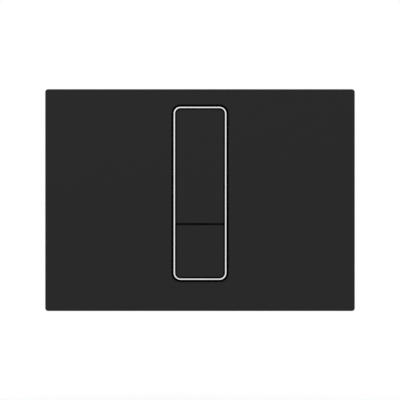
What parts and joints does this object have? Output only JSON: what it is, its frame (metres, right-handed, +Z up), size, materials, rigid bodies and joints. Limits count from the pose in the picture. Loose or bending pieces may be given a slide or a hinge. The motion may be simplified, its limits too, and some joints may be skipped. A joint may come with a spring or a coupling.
{
  "type": "flush button plate",
  "caption": "Flat rectangular wall plate with a large and a small flush button in a chrome-framed slot, on a mounting frame with push rods to the cistern valve.",
  "frame": {"origin": "centre of the plate's outline, on the plane of the finished wall that the mounting frame's flange rests on", "axes": "+X to the right as seen from the room, +Y into the wall, +Z up"},
  "size_m": [0.24, 0.0823, 0.172],
  "materials": {
    "plate_black": "fine matte",
    "button_black": "fine matte",
    "bezel_chrome": "polished",
    "carrier_black": "satin",
    "frame_grey": "satin",
    "zinc_steel": "zinc plated",
    "dark_steel": "black oxide",
    "spring_steel": "rolled",
    "bumper_rubber": "matte",
    "seal_rubber": "dull foam",
    "nut_blue": "satin",
    "rod_white": "satin",
    "head_green": "satin",
    "head_blue": "satin"
  },
  "bodies": {
    "fixed": {"front_plate": "plate_black", "bezel_ring": "bezel_chrome", "bezel_seal": "seal_rubber", "button_carrier": "carrier_black", "carrier_screws": "zinc_steel", "full_button_pin": "dark_steel", "half_button_pin": "dark_steel", "full_return_spring": "spring_steel", "half_return_spring": "spring_steel", "stop_bumpers": "bumper_rubber", "mounting_frame": "frame_grey", "plate_clips": "spring_steel", "left_fixing_stud": "zinc_steel", "right_fixing_stud": "zinc_steel", "left_stud_nut": "nut_blue", "right_stud_nut": "nut_blue"},
    "full_button": {"full_flush_button": "button_black"},
    "half_button": {"half_flush_button": "button_black"},
    "full_rod": {"full_push_rod": "rod_white", "full_rod_head": "head_green"},
    "half_rod": {"half_push_rod": "rod_white", "half_rod_head": "head_blue"}
  },
  "joints": [
    {"name": "full_button_press", "type": "hinge", "parent": "fixed", "child": "full_button", "pos_m": [0, -0.0059, 0.0663], "axis": [1, 0, 0], "range_deg": [0, 4.5], "stiffness_Nm_per_rad": 2, "springref_deg": -8.59, "deforming": ["full_return_spring"]},
    {"name": "half_button_press", "type": "hinge", "parent": "fixed", "child": "half_button", "pos_m": [0, -0.0059, -0.0558], "axis": [-1, 0, 0], "range_deg": [0, 9.5], "stiffness_Nm_per_rad": 0.4, "springref_deg": -20.05, "deforming": ["half_return_spring"]},
    {"name": "full_rod_slide", "type": "slide", "parent": "fixed", "child": "full_rod", "axis": [0, 1, 0], "range_m": [0, 0.006]},
    {"name": "half_rod_slide", "type": "slide", "parent": "fixed", "child": "half_rod", "axis": [0, 1, 0], "range_m": [0, 0.0048]}
  ],
  "couplings": [
    {"joint": "full_rod_slide", "follows": "full_button_press", "m_per_rad": 0.0732},
    {"joint": "half_rod_slide", "follows": "half_button_press", "m_per_rad": 0.0276}
  ]
}
